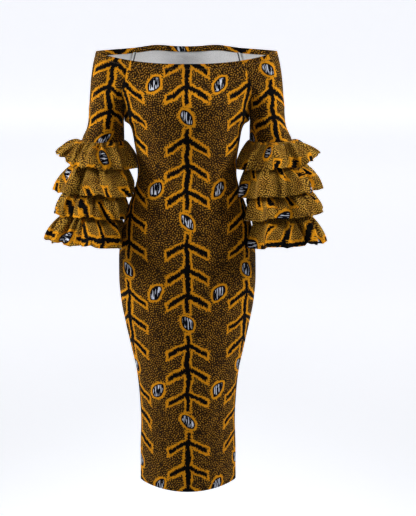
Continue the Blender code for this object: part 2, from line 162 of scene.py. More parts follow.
PANEL_STRIPS = 132           # across the front or the back
SLEEVE_STRIPS = 120          # round a sleeve
RUFFLE_STRIPS = 300          # round a ruffle
RUFFLE_ROWS = 34             # down a ruffle
YOKE_ROWS = 46               # from the neck edge to the underarm
FINE_ROWS = 12               # of a panel, from the underarm to where its rows lie further apart
SKIRT_ROWS = 236             # of a panel, from there to the hem
SLEEVE_ROWS = 62             # of a sleeve, from the underarm to the cuff
SECTION_POINTS = 900         # in half a section of the yoke
NECK_REACH = 30              # the rows that the neck edge and its stitching lie in
STAND_BLEND = 20             # columns over which a ruffle's stand-off is evened out
CASING_ROWS = 7              # down the turned-in neck edge
ALLOWANCE_REACH = 40         # the columns beside a seam in which its allowance lies


def smooth_curve(at, knots, values):
    """The Hermite cubic through (knots, values) whose slope at each knot is the harmonic mean of
    the two slopes beside it, read at each number in at. It never overshoots."""
    at = np.clip(np.asarray(at, float), min(knots[0], knots[-1]), max(knots[0], knots[-1]))
    if knots[0] > knots[-1]:
        knots, values = knots[::-1], values[::-1]
    rises = np.diff(values) / np.diff(knots)
    before, after = rises[:-1], rises[1:]
    turning = before * after <= 0
    inner = np.where(turning, 0.0, 2 * before * after / np.where(turning, 1.0, before + after))
    slopes = np.concatenate([rises[:1], inner, rises[-1:]])
    left = np.clip(np.searchsorted(knots, at, side="right") - 1, 0, len(knots) - 2)
    span = knots[left + 1] - knots[left]
    t = (at - knots[left]) / span
    return ((2 * t**3 - 3 * t**2 + 1) * values[left] + (t**3 - 2 * t**2 + t) * span * slopes[left]
            + (3 * t**2 - 2 * t**3) * values[left + 1] + (t**3 - t**2) * span * slopes[left + 1])


def table_reader(headings, rows):
    """A function that reads any column of a table at a value of its first one."""
    columns = dict(zip(headings, np.array(rows, float).T))
    return lambda at, name: smooth_curve(at, columns[headings[0]], columns[name])


torso_at = table_reader(TORSO_HEADINGS, TORSO)
yoke_at = table_reader(YOKE_HEADINGS, YOKE)
sleeve_at = table_reader(SLEEVE_HEADINGS, SLEEVE)


def neck_edge_z(x, facing):
    """Height of the neck edge: a flat dip in front, a shallow arch with two blades behind."""
    reach = np.minimum(np.abs(x) / NECK_HALF_WIDTH, 1.0)
    front = NECK_SIDE_Z - FRONT_DIP * (1 - reach**FRONT_DIP_POWER)
    blades = BLADE_RISE * np.exp(-(((np.abs(x) - BLADE_X) / BLADE_SPREAD) ** 2))
    back = NECK_SIDE_Z + BACK_RISE * (1 - reach**2) + blades * (1 - reach**4)
    return np.where(facing < 0, front, back)


def bust(x, z):
    """A bell across each side of the front times a bell up and down it."""
    across = np.exp(-(((np.abs(x) - BUST_X) / BUST_SPREAD) ** 2))
    return BUST_DEPTH * across * np.exp(-(((z - BUST_Z) / BUST_HEIGHT) ** 2))


def taut_outline(xs, depths):
    """The upper convex hull of a section, read at xs: cloth pulled straight over its hollows."""
    hull = []
    for point in zip(xs, depths):
        while len(hull) > 1 and ((hull[-1][0] - hull[-2][0]) * (point[1] - hull[-2][1])
                                 >= (point[0] - hull[-2][0]) * (hull[-1][1] - hull[-2][1])):
            hull.pop()
        hull.append(point)
    corners = np.array(hull)
    return np.interp(xs, corners[:, 0], corners[:, 1])


def yoke_section(share, facing):
    """Half a section over chest and arm: the greater of two half ellipses, blended with its
    taut outline."""
    chest, depth = yoke_at(share, "chest"), yoke_at(share, "front" if facing < 0 else "back")
    arm_x, arm_width = yoke_at(share, "arm_x"), yoke_at(share, "arm_width")
    xs = (arm_x + arm_width) * np.sin(np.linspace(0.0, math.pi / 2, SECTION_POINTS))
    body = depth * np.sqrt(np.clip(1 - (xs / chest) ** 2, 0.0, None))
    if facing < 0:
        body = body + bust(xs, UNDERARM_Z * (1 - share)) * (xs < chest)
    arm = yoke_at(share, "arm_depth") * np.sqrt(
        np.clip(1 - ((xs - arm_x) / arm_width) ** 2, 0.0, None))
    followed = np.maximum(body, arm)
    taut = yoke_at(share, "taut")
    return xs, (1 - taut) * followed + taut * taut_outline(xs, followed)


def yoke_z(share, x, facing):
    """Height of a point of the yoke, at a share of the way up from the underarm."""
    return UNDERARM_Z + share * (neck_edge_z(x, facing) - UNDERARM_Z)


def seam_x(share, facing):
    """Distance from the centre plane to an armhole seam."""
    return yoke_at(share, "front_seam" if facing < 0 else "back_seam")


def panel_row_below(z, facing, turns):
    """A level row of a panel below the underarm, from side seam to side seam."""
    half_width, fullness = torso_at(z, "half_width"), torso_at(z, "fullness")
    depth = torso_at(z, "front" if facing < 0 else "back")
    x = half_width * np.sin(turns) + torso_at(z, "web") * np.sin(turns) ** WEB_POWER
    y = depth * np.abs(np.cos(turns)) ** (2 / fullness)
    if facing < 0:
        y = y + bust(x, z) * np.cos(turns)
    return np.stack([x, facing * y, np.full_like(x, z)], axis=1)


def panel_row_above(share, facing, turns):
    """A row of a panel over the chest, from armhole seam to armhole seam."""
    x = seam_x(share, facing) * np.sin(turns)
    y = np.interp(np.abs(x), *yoke_section(share, facing))
    return np.stack([x, facing * y, yoke_z(share, x, facing)], axis=1)


def sleeve_row_above(share, side):
    """One open row of a sleeve from its front seam round the arm to its back seam: each point
    is where a ray from the foot of the seam meets the section."""
    row = []
    turns = np.linspace(0.0, math.pi / 2, SLEEVE_STRIPS // 2 + 1)
    blend = min(share / YOKE[1][0], 1.0)
    inner = yoke_at(share, "arm_x") - yoke_at(share, "arm_width")
    for facing, bearings in ((-1.0, turns[::-1]), (1.0, turns[1:])):
        seam = (1 - blend) * inner + blend * seam_x(share, facing)
        xs, depths = yoke_section(share, facing)
        beyond = np.concatenate([[seam], xs[xs > seam]])
        depth = np.interp(beyond, xs, depths)
        if share == 0.0:
            depth[0] = 0.0
        bearing = np.arctan2(depth, beyond - seam)
        bearing[0] = math.pi / 2
        x = np.interp(bearings, bearing[::-1], beyond[::-1])
        y = np.interp(bearings, bearing[::-1], depth[::-1])
        row.append(np.stack([side * x, facing * y, yoke_z(share, x, facing)], axis=1))
    return np.concatenate(row)


def sleeve_row_below(z, side_name, turns):
    """A level ring of the base sleeve: an ellipse whose centre leans out and forwards."""
    side = SIDES[side_name]
    forward = CUFF_FORWARD[side_name] * ((UNDERARM_Z - z) / (UNDERARM_Z - SLEEVE[-1][0])) ** 1.5
    x = side * (sleeve_at(z, "centre_x") - sleeve_at(z, "half_width") * np.cos(turns))
    y = -forward - sleeve_at(z, "half_depth") * np.sin(turns)
    return np.stack([x, y, np.full_like(x, z)], axis=1)


def skirt_side_x(y, z):
    """Distance from the centre plane to the side of the dress at a depth y and height z."""
    depth = np.where(y < 0, torso_at(z, "front"), torso_at(z, "back"))
    inside = np.clip(1 - np.abs(y / depth) ** torso_at(z, "fullness"), 0.0, None)
    return torso_at(z, "half_width") * np.sqrt(inside)


def unit(vectors):
    return vectors / np.maximum(np.linalg.norm(vectors, axis=-1, keepdims=True), 1e-9)


def joined_up(points):
    """The grid of a ring with its first column once more after its last."""
    return np.concatenate([points, points[:, :1]], axis=1)


def outward_normals(points, closed, outwards):
    """Unit normals of a grid, turned to the same side as the vectors in outwards."""
    along_row = (np.roll(points, -1, axis=1) - np.roll(points, 1, axis=1) if closed
                 else np.gradient(points, axis=1))
    normals = unit(np.cross(along_row, np.gradient(points, axis=0)))
    return normals if np.sum(normals * outwards) > 0 else -normals


def run_along(points):
    """Length along each row of a grid from its first column."""
    steps = np.linalg.norm(np.diff(points, axis=1), axis=2)
    return np.concatenate([np.zeros((len(points), 1)), np.cumsum(steps, axis=1)], axis=1)


def arc_across(points):
    """Length along each row from its middle column, less than zero on the first half."""
    along = run_along(points)
    return along - along[:, [points.shape[1] // 2]]


def arc_down(points):
    """Length down the middle column of a grid from the first row."""
    return run_along(points[None, :, points.shape[1] // 2])[0]


def part_way(points, normals, length):
    """The points and normals at a length along each row of a grid."""
    along = run_along(points)
    rows = np.arange(len(points))
    at = np.array([np.interp(length, run, np.arange(len(run))) for run in along])
    whole = np.minimum(at.astype(int), along.shape[1] - 2)
    part = (at - whole)[:, None]
    return ((1 - part) * points[rows, whole] + part * points[rows, whole + 1],
            unit((1 - part) * normals[rows, whole] + part * normals[rows, whole + 1]))


# Creases on a panel: from one point to another in lengths across it and heights, bowed
# sideways at the middle, with the width and the depth of the fold. Ridges are over zero. The
# last heading is how much wider one side is, where it isn't half as wide again.
CREASE_HEADINGS = ("across", "height", "to_across", "to_height", "bow", "width", "depth", "skew")
FRONT_CREASES = (
    (22, -231, 118, -238, -5, 4, 1.5),
    (34, -243, 104, -251, 4, 3.6, -1.3),
    (10, -256, 112, -262, -6, 4.6, 1.7),
    (44, -270, 120, -271, 5, 3.8, -1.2),
    (-126, -244, -58, -252, 4, 4.4, 1.1),
    (-118, -262, -40, -268, -4, 4, -0.9),
    (-60, -284, 18, -291, 5, 5.5, 0.9),
    (70, -292, 128, -281, -3, 4.2, 1),
    (132, -118, 92, -176, 8, 7, -2),
    (-134, -112, -96, -168, -7, 7, -1.7),
    (140, -88, 108, -124, 6, 6, 1.4),
    (-140, -84, -112, -120, -6, 6.5, 1.3),
    (62, -838, 30, -893, 7, 7, 2.4),
    (84, -852, 48, -915, 6, 6, -2),
    (-104, -806, -22, -829, -7, 8, 1.6),
    (-112, -842, -34, -872, -8, 8.5, -1.5),
    (18, -800, 104, -786, 6, 8, 1.3),
    (-8, -874, 92, -936, -9, 9, 1.9),
    (-118, -905, -20, -921, 6, 9, 1.3),
    (28, -948, 118, -985, -7, 9.5, -1.4),
    (-96, -962, 6, -988, 8, 10, 1.2),
    (-150, -402, -96, -452, 6, 7, -1.1),
    (152, -396, 100, -447, -6, 7.5, -1.2),
)
BACK_CREASES = (
    (-88, -222, -10, -229, 5, 4.5, 1.5),
    (8, -226, 92, -219, -5, 4.2, 1.4),
    (-96, -238, 12, -247, 6, 5, -1.6),
    (-22, -252, 88, -245, -6, 5.2, 1.8),
    (-104, -262, -18, -271, 5, 4.4, 1.4),
    (4, -270, 96, -264, -4, 4.8, -1.5),
    (-60, -284, 44, -289, 6, 5.6, 1.2),
    (130, -122, 94, -172, 8, 7, -1.7),
    (-132, -118, -92, -170, -8, 7.5, -1.9),
    (-70, -604, 52, -622, 9, 11, 1.6),
    (-88, -636, 30, -655, -9, 12, -1.4),
    (20, -648, 96, -690, 8, 10, 1.3),
    (-98, -792, 10, -812, 8, 9, 1.9),
    (-14, -806, 92, -788, -7, 8.5, 1.7),
    (-106, -830, -8, -857, 8, 9, -1.6),
    (0, -846, 104, -826, -8, 9.5, -1.8),
    (-84, -876, 32, -902, 9, 10, 1.5),
    (12, -930, 110, -968, -8, 10, 1.2),
    (-112, -940, -30, -982, 7, 10, -1.2),
)
# Creases on a base sleeve: across is the length from the outside of the arm, less than zero
# towards the front seam.
SLEEVE_CREASES = {
    "left": (
        (-128, -104, -62, -150, 7, 7, -1.8),
        (-120, -132, -48, -172, 6, 6, 1.6),
        (-96, -60, -40, -118, -6, 9, 1.1),
        (-20, -110, 46, -146, 6, 9, 1.2),
        (128, -98, 58, -146, -7, 7, -1.6),
        (118, -134, 40, -168, -6, 7, 1.4),
        (-66, -176, 8, -192, 4, 6, 0.9),
        (-86, -8, -52, -64, 5, 8, 1),
        (60, -6, 34, -70, -5, 9, 1),
        (-98, -52, -90, -192, 4, 19, 6.5, 1.3),
    ),
    "right": (
        (-130, -98, -58, -142, 8, 7.5, -2),
        (-116, -128, -52, -176, 6, 6.5, 1.7),
        (-88, -52, -46, -104, -6, 8.5, 1.2),
        (-26, -122, 38, -150, 5, 8.5, 1.1),
        (126, -104, 62, -150, -8, 7.5, -1.5),
        (114, -138, 46, -174, -5, 6.5, 1.3),
        (-60, -180, 14, -190, 4, 5.5, 0.9),
        (-80, -14, -48, -72, 5, 8.5, 1.1),
        (66, -12, 40, -64, -5, 8, 0.9),
        (-100, -46, -92, -188, 4, 18, 7, 1.3),
    ),
}
# Folds down a ruffle: across is the length along its hem from the outside of the arm, less than
# zero towards the front, and height is less than zero below its seam.
RUFFLE_CREASES = {
    "left": (
        ((-74, -4, -88, -88, 2, 6.5, -8, 1.3), (-104, -6, -113, -86, -3, 7, 4.5, 1.6),
         (-56, -4, -60, -84, 3, 6.5, 4, 1.5), (-136, 4, -150, -84, 4, 6, -5, 1.5),
         (-196, 2, -188, -80, 3, 6, 4, 1.8), (-22, 2, -14, -86, -3, 6, -4.4, 1.5),
         (30, 3, 44, -80, 4, 6.5, 4.4, 1.6), (118, 2, 106, -84, 3, 6, 3.6, 1.7),
         (196, 2, 210, -82, -3, 7, -4, 1.5)),
        ((-128, 4, -126, -108, 2, 4.6, -8.5, 1.6), (-110, 2, -107, -108, 2, 6, 5, 1.3),
         (-76, 2, -68, -104, 3, 6, -5.4, 1.5), (-178, 2, -188, -110, -3, 6, 4.6, 1.7),
         (-24, 2, -30, -100, 3, 6, 4, 1.6), (40, 2, 58, -108, 4, 7, 4.6, 1.5),
         (150, 2, 138, -108, -3, 6.5, -4.4, 1.6), (-238, 2, -226, -104, 3, 6, 3, 1.6)),
        ((-123, 4, -125, -100, -2, 4.6, -8, 1.7), (-105, 4, -108, -100, 2, 6, 5.2, 1.4),
         (-156, 2, -148, -98, 3, 6, 4.2, 1.5), (-206, 2, -214, -96, -3, 6.5, -4.6, 1.8),
         (-62, 2, -56, -100, 3, 6, -5.4, 1.5), (-16, 2, -22, -96, -3, 6, 4.4, 1.5),
         (96, 2, 112, -98, 3, 7, 4.2, 1.6), (196, 2, 184, -96, 2, 6, 3.4, 1.8)),
        ((-136, 3, -133, -110, -3, 4.8, -8.5, 1.6), (-117, 3, -113, -108, 3, 6.2, 5.2, 1.4),
         (-66, 2, -72, -108, 3, 5.6, -6.4, 1.5), (-44, 2, -47, -106, -2, 6.5, 4.6, 1.5),
         (-182, 2, -190, -108, 2, 5.5, 4.4, 1.8), (-8, 2, -2, -106, -3, 6.5, -4.6, 1.5),
         (66, 2, 82, -108, 4, 7, 4.6, 1.5), (164, 2, 150, -106, -3, 6.5, 3.6, 1.6)),
    ),
    "right": (
        ((-72, -5, -81, -86, 3, 7, -8.5, 1.4), (-99, -4, -107, -86, -3, 8, 5, 1.5),
         (-176, 4, -185, -82, 3, 6, -5.6, 1.6), (-199, 4, -207, -80, -3, 6.5, 4.6, 1.6),
         (-138, 2, -142, -82, 3, 7, 3.6, 1.6), (-20, 3, -10, -86, 3, 6, 4.4, 1.6),
         (52, 2, 66, -84, -4, 7, -4.4, 1.5), (140, 2, 128, -82, 3, 6.5, 3.8, 1.7),
         (214, 2, 222, -80, 2, 6, 3.4, 1.6)),
        ((-97, 4, -99, -110, 2, 5, -6.6, 1.4), (-118, 4, -117, -108, 2, 6.5, 6.2, 1.2),
         (-139, 2, -137, -108, 2, 5, -6, 1.5), (-190, 2, -195, -108, -3, 5.4, -6.6, 1.6),
         (-58, 2, -50, -106, 3, 6.5, 4.4, 1.7), (6, 2, 14, -108, 3, 6.5, -4.4, 1.5),
         (84, 2, 98, -108, -3, 7, 4.4, 1.6), (188, 2, 176, -104, 3, 6.5, 3.6, 1.5)),
        ((-55, 2, -58, -102, 3, 5.4, -6.2, 1.5), (-82, 4, -85, -102, 2, 7.5, 5.2, 1.4),
         (-107, 4, -106, -104, -2, 5, -7.2, 1.6), (-150, 2, -156, -102, 3, 6.5, 4.2, 1.5),
         (-184, 2, -194, -102, 3, 5.8, -5.4, 1.7), (-14, 2, -18, -100, -3, 6, 4.4, 1.6),
         (50, 2, 38, -102, 3, 6.5, -4.2, 1.5), (124, 2, 138, -100, -3, 7, 4.2, 1.6),
         (-226, 2, -234, -98, 2, 6, 3.4, 1.6)),
        ((-61, 4, -64, -108, 2, 5.4, -6.6, 1.5), (-87, 4, -90, -108, 2, 7, 5.6, 1.3),
         (-114, 3, -117, -110, -3, 5, -7.8, 1.5), (-138, 2, -144, -108, 3, 7, 4.2, 1.5),
         (-172, 2, -168, -108, 3, 5.6, -5.4, 1.6), (-30, 2, -24, -108, -3, 6, 4.6, 1.5),
         (24, 2, 36, -108, 3, 7, -4.4, 1.5), (108, 2, 96, -106, -3, 6.5, 4, 1.6),
         (196, 2, 208, -104, 3, 6, 3.4, 1.6)),
    ),
}
# Where a flute of the top ruffle stands up from the rest: its bearing and half breadth in
# degrees, how far its hem goes up and out, and how late down its length it does so.
TIP_HEADINGS = ("bearing", "breadth", "up", "out", "power")
RUFFLE_TIPS = {("left", 1): (176, 26, 11, 4, 1.2),
               ("right", 1): (170, 28, 15, 3, 0.7)}
NO_TIP = (0, 1, 0, 0, 1)
# The gathers fan out from the seam: how many go round, how far each stands out, and how far down
# the ruffle each is deepest, as a share of its length.
GATHER_HEADINGS = ("count", "height", "deepest")
GATHERS = ((41, 0.65, 0.09), (53, 0.65, 0.09), (67, 0.65, 0.09), (79, 0.65, 0.09),
           (23, 0.55, 0.2), (31, 0.6, 0.22), (37, 0.5, 0.17))


def creased(across, height, table, sharp=1.0):
    """The sum of a table's creases: each is a bell across its bowed line, softer on one side,
    times a sine that fades it in and out along its length. Its other side is narrower as
    "sharp" goes down."""
    total = np.zeros_like(across)
    for row in table:
        crease = dict(zip(CREASE_HEADINGS, row))
        start = np.array([crease["across"], crease["height"]], float)
        run = np.array([crease["to_across"], crease["to_height"]], float) - start
        length = np.linalg.norm(run)
        along = ((across - start[0]) * run[0] + (height - start[1]) * run[1]) / length**2
        off = ((height - start[1]) * run[0] - (across - start[0]) * run[1]) / length
        off = off - crease["bow"] * 4 * along * (1 - along)
        width = np.where(off > 0, crease.get("skew", 1.5), sharp) * crease["width"]
        fade = np.sin(math.pi * np.clip(along, 0.0, 1.0)) ** 0.8
        total = total + crease["depth"] * fade * np.exp(-((off / width) ** 2))
    return total


def slow_waves(across, height, size, seed):
    """A soft unevenness: six sine waves of about one wavelength, with seeded directions."""
    numbers = np.random.default_rng(seed)
    total = np.zeros_like(across)
    for _ in range(6):
        bearing, phase = numbers.uniform(0, math.pi), numbers.uniform(0, 2 * math.pi)
        pitch = size * numbers.uniform(0.7, 1.5)
        total = total + np.sin(2 * math.pi * (across * math.cos(bearing)
                                              + height * math.sin(bearing)) / pitch + phase)
    return total / 6


def new_piece(name, points, faces, *materials):
    """A smooth mesh with its points in metres, as an object at the origin."""
    data = bpy.data.meshes.new(name)
    data.from_pydata(points, [], faces)
    data.polygons.foreach_set("use_smooth", np.ones(len(faces), bool))
    for material in materials:
        data.materials.append(material)
    piece = bpy.data.objects.new(name, data)
    bpy.context.scene.collection.objects.link(piece)
    return piece


def linear(text):
    """An sRGB hex colour as linear red, green, blue and alpha."""
    channels = [int(text[i:i + 2], 16) / 255 for i in (1, 3, 5)]
    return [c / 12.92 if c <= 0.04045 else ((c + 0.055) / 1.055) ** 2.4 for c in channels] + [1.0]


def add_node(tree, kind, settings=None, inputs=None):
    """Adds a node, sets its settings, and gives each input its value or its link."""
    node = tree.nodes.new(kind)
    for name, value in (settings or {}).items():
        setattr(node, name, value)
    for name, value in (inputs or {}).items():
        if isinstance(value, bpy.types.NodeSocket):
            tree.links.new(value, node.inputs[name])
        else:
            node.inputs[name].default_value = value
    return node


def new_material(name, roughness, sheen, specular):
    material = bpy.data.materials.new(name)
    material.use_nodes = True
    shader = material.node_tree.nodes["Principled BSDF"]
    shader.inputs["Roughness"].default_value = roughness
    shader.inputs["Specular IOR Level"].default_value = specular
    shader.inputs["Sheen Weight"].default_value = sheen
    shader.inputs["Sheen Roughness"].default_value = 0.6
    return material, material.node_tree, shader


# Soft noise over the flat cloth: the size of one blotch in millimetres across and along it, how
# finely it breaks up, and where it is read, so that no two fields are alike.
FIELD_HEADINGS = ("name", "across", "along", "detail", "shift")
FIELDS = (
    ("drift_u", 46.0, 46.0, 1.0, 0.0),
    ("drift_v", 46.0, 46.0, 1.0, 31.0),
    ("brush", 7.0, 7.0, 2.0, 7.0),
    ("grain", 2.6, 2.6, 2.0, 13.0),
    ("bristle", 1.9, 7.0, 1.0, 19.0),
    ("patch", 34.0, 34.0, 3.0, 23.0),
    ("streak", 2.6, 26.0, 1.0, 29.0),
    ("slub", 2.2, 6.0, 2.0, 37.0),
)
# The print. Barbed stems stand in columns, every second one half a repeat lower, with slanting
# seeds in the gaps between them.
COLUMN_PITCH, REPEAT = 152.0, 248.0
DRIFT = 15.0                 # how far the print wanders from its columns in all
STEM_HALF_WIDTH, STEM_HALF_HEIGHT, STEM_TAPER = 6.9, 96.0, 0.022
BARB_HALF_WIDTH, BARB_REACH, BARB_SLOPE = 5.6, 48.0, 0.6
BARB_SPACING, BARB_DROP = 62.0, 10.0
SEED_TILT = math.radians(38.0)
SEED_HALF_WIDTH = 13.5
SEED_BELLY = 11.0            # from the middle of a seed to the centres of its two arcs
# Each row of a sum is a result, an operation and its terms, which are numbers or results.
PRINT_SUMS = (
    ("drift_u0", "MULTIPLY_ADD", "drift_u", DRIFT, "u"),
    ("u1", "SUBTRACT", "drift_u0", DRIFT / 2),
    ("drift_v0", "MULTIPLY_ADD", "drift_v", DRIFT, "v"),
    ("v1", "SUBTRACT", "drift_v0", DRIFT / 2),
    ("ushare", "DIVIDE", "u1", COLUMN_PITCH),
    ("column", "ROUND", "ushare"),
    ("du", "MULTIPLY_ADD", "column", -COLUMN_PITCH, "u1"),
    ("odd", "FLOORED_MODULO", "column", 2.0),
    ("vs", "MULTIPLY_ADD", "odd", REPEAT / 2, "v1"),
    ("vshare", "DIVIDE", "vs", REPEAT),
    ("row", "ROUND", "vshare"),
    ("dv", "MULTIPLY_ADD", "row", -REPEAT, "vs"),
    ("au", "ABSOLUTE", "du"),
    ("av", "ABSOLUTE", "dv"),
    # The stem is a tall bar that thins towards its ends.
    ("stem_across", "MULTIPLY_ADD", "av", STEM_TAPER, "au"),
    ("stem_side", "SUBTRACT", "stem_across", STEM_HALF_WIDTH),
    ("stem_end", "SUBTRACT", "av", STEM_HALF_HEIGHT),
    ("stem", "MAXIMUM", "stem_side", "stem_end"),
    # Three barbs a side slant up from the stem; 0.86 turns a height between them into a width.
    ("slant", "MULTIPLY_ADD", "au", -BARB_SLOPE, "dv"),
    ("slant_on", "ADD", "slant", BARB_DROP),
    ("between", "PINGPONG", "slant_on", BARB_SPACING / 2),
    ("barb_side", "MULTIPLY_ADD", "between", 0.86, -BARB_HALF_WIDTH),
    ("barb_end", "SUBTRACT", "au", BARB_REACH),
    ("barb_range", "ABSOLUTE", "slant_on"),
    ("barb_last", "SUBTRACT", "barb_range", 80.0),
    ("barb_stop", "MAXIMUM", "barb_end", "barb_last"),
    ("barb", "MAXIMUM", "barb_side", "barb_stop"),
    ("drawn", "MINIMUM", "stem", "barb"),
    # The gap between two stems of a column, and the one between two columns, hold a seed.
    ("gap_row", "FLOOR", "vshare"),
    ("gap_v0", "MULTIPLY_ADD", "gap_row", -REPEAT, "vs"),
    ("gap_v", "SUBTRACT", "gap_v0", REPEAT / 2),
    ("side_column", "FLOOR", "ushare"),
    ("side_u0", "MULTIPLY_ADD", "side_column", -COLUMN_PITCH, "u1"),
    ("side_u", "SUBTRACT", "side_u0", COLUMN_PITCH / 2),
    ("side_share", "DIVIDE", "v1", REPEAT),
    ("side_row", "FLOOR", "side_share"),
    ("side_v0", "MULTIPLY_ADD", "side_row", -REPEAT, "v1"),
    ("side_v", "SUBTRACT", "side_v0", REPEAT * 0.2),
)
# A seed is the lens where two circles cross, leaning by "lean" from upright.
SEED_SUMS = (
    ("lean_sin", "SINE", "lean"),
    ("lean_cos", "COSINE", "lean"),
    ("along_u", "MULTIPLY", "seed_u", "lean_sin"),
    ("along", "MULTIPLY_ADD", "seed_v", "lean_cos", "along_u"),
    ("off_v", "MULTIPLY", "seed_v", "lean_sin"),
    ("off_u", "MULTIPLY", "seed_u", "lean_cos"),
    ("off", "SUBTRACT", "off_u", "off_v"),
    ("aside", "ABSOLUTE", "off"),
    ("beyond", "ADD", "aside", SEED_BELLY),
    ("along_square", "MULTIPLY", "along", "along"),
    ("square", "MULTIPLY_ADD", "beyond", "beyond", "along_square"),
    ("from_centre", "SQRT", "square"),
    ("seed", "SUBTRACT", "from_centre", SEED_BELLY + SEED_HALF_WIDTH),
)
# How far each shape's edge is from here once the brush has roughened it, less than zero inside.
EDGE_SUMS = (
    ("rough", "SUBTRACT", "grain", 0.5),
    ("teeth", "MULTIPLY_ADD", "bristle", 12.0, -6.0),
    ("drag", "MULTIPLY_ADD", "brush", 9.0, -4.5),
    ("worn", "MULTIPLY_ADD", "rough", 5.0, "teeth"),
    ("strokes", "ADD", "drawn", "worn"),
    ("clean_seed", "MINIMUM", "gap_seed", "side_seed"),
    ("seeds", "MULTIPLY_ADD", "rough", 3.0, "clean_seed"),
    ("nearest", "MINIMUM", "drawn", "clean_seed"),
    ("halo0", "ADD", "nearest", "drag"),
    ("halo1", "MULTIPLY_ADD", "rough", 10.0, "halo0"),
    ("halo2", "MULTIPLY_ADD", "crackle", -7.0, "halo1"),
    ("halo", "SUBTRACT", "halo2", 2.4),
    ("inside_seed", "ADD", "seeds", 3.0),
    ("streak_edge", "MULTIPLY_ADD", "streak", -40.0, 22.2),
    ("streaks", "MAXIMUM", "inside_seed", "streak_edge"),
    ("blotch", "MULTIPLY_ADD", "patch", 8.0, -3.6),
    ("fleck", "MULTIPLY_ADD", "grain", -16.0, 10.6),
)
# The dyes in the order they lie on the cloth: each covers where its sum is under zero.
GROUND_DYES = (("#8C5D14", "blotch", 2.0), ("#E0A436", "fleck", 0.6))
MOTIF_DYES = (
    ("#D88F14", "halo", 0.6),
    ("#060505", "strokes", 0.4),
    ("#080912", "seeds", 0.5),
    ("#D5DAE8", "streaks", 0.6),
)
# Fine courses and wales of the knit.
JERSEY_SUMS = (
    ("wale_turn", "MULTIPLY", "u", 2 * math.pi / 1.5),
    ("wale", "SINE", "wale_turn"),
    ("course_turn", "MULTIPLY", "v", 2 * math.pi / 1.3),
    ("course", "SINE", "course_turn"),
    ("knit", "MULTIPLY", "wale", "course"),
    ("relief", "MULTIPLY_ADD", "knit", 0.35, "slub"),
)


def work_out(tree, sums, known):
    """Turns a table of sums into Math nodes, from the results already in known."""
    for result, operation, *terms in sums:
        inputs = {n: known.get(term, term) for n, term in enumerate(terms)}
        known[result] = add_node(tree, "ShaderNodeMath", {"operation": operation},
                                 inputs).outputs[0]
    return known


def cloth_measures(tree, names):
    """The flat cloth's own place, u and v in millimetres, and the noise fields in names."""
    uv = add_node(tree, "ShaderNodeUVMap", {"uv_map": "cut"}).outputs["UV"]
    place = add_node(tree, "ShaderNodeVectorMath", {"operation": "SCALE"},
                     {"Vector": uv, "Scale": 1 / MM}).outputs["Vector"]
    parts = add_node(tree, "ShaderNodeSeparateXYZ", None, {"Vector": place}).outputs
    known = {"place": place, "u": parts["X"], "v": parts["Y"]}
    for row in FIELDS:
        field = dict(zip(FIELD_HEADINGS, row))
        if field["name"] in names:
            scaled = add_node(tree, "ShaderNodeVectorMath", {"operation": "MULTIPLY_ADD"},
                              {0: place, 1: (1 / field["across"], 1 / field["along"], 0.0),
                               2: (field["shift"],) * 3}).outputs[0]
            known[field["name"]] = add_node(
                tree, "ShaderNodeTexNoise", None,
                {"Vector": scaled, "Scale": 1.0, "Detail": field["detail"]}).outputs["Fac"]
    return known


def dyed(tree, base, dyes, known):
    """Lays dyes one over another on a base colour, each with an edge of its own softness."""
    colour = linear(base)
    for dye, measure, softness in dyes:
        share = add_node(tree, "ShaderNodeMapRange", {"interpolation_type": "SMOOTHSTEP"},
                         {"Value": known[measure], "From Min": -softness, "From Max": softness,
                          "To Min": 1.0, "To Max": 0.0}).outputs[0]
        colour = add_node(tree, "ShaderNodeMix", {"data_type": "RGBA"},
                          {0: share, 6: colour, 7: linear(dye)}).outputs[2]
    return colour


def give_relief(tree, shader, height, depth):
    """Bumps the shader by a height from 0 to 1 that stands for a depth in millimetres."""
    bump = add_node(tree, "ShaderNodeBump", None,
                    {"Strength": 0.6, "Distance": depth * MM, "Height": height})
    tree.links.new(bump.outputs["Normal"], shader.inputs["Normal"])


def wax_print_jersey(name, ground, line, line_edge, cell):
    """Polyester stretch jersey printed on its face: matt, hardly shiny, with knit loops that
    break up the light. "ground" is the colour of its ground and "line" that of the crackle on
    it, whose lines are about half of "cell" mm apart and thinner as "line_edge" goes up."""
    material, tree, shader = new_material(name, roughness=0.85, sheen=0.01, specular=0.04)
    known = cloth_measures(tree, [row[0] for row in FIELDS])
    tile = add_node(tree, "ShaderNodeVectorMath", {"operation": "WRAP"},
                    {0: known["place"], 1: (REPEAT, REPEAT, 1.0), 2: (0.0, 0.0, 0.0)}).outputs[0]
    known["crackle"] = add_node(tree, "ShaderNodeTexGabor", {"gabor_type": "2D"},
                                {"Vector": tile, "Scale": 1 / cell, "Frequency": 1.95,
                                 "Anisotropy": 0.0}).outputs["Value"]
    work_out(tree, PRINT_SUMS, known)
    for seed, u, v, lean in (("gap_seed", "du", "gap_v", SEED_TILT),
                             ("side_seed", "side_u", "side_v", -SEED_TILT)):
        own = {**known, "seed_u": known[u], "seed_v": known[v], "lean": lean}
        known[seed] = work_out(tree, SEED_SUMS, own)["seed"]
    work_out(tree, EDGE_SUMS, known)
    work_out(tree, (("worms", "MULTIPLY_ADD", "crackle", 9.0, line_edge),), known)
    work_out(tree, JERSEY_SUMS, known)
    dyes = GROUND_DYES + ((line, "worms", 0.5),) + MOTIF_DYES
    tree.links.new(dyed(tree, ground, dyes, known), shader.inputs["Base Color"])
    give_relief(tree, shader, known["relief"], 0.4)
    return material


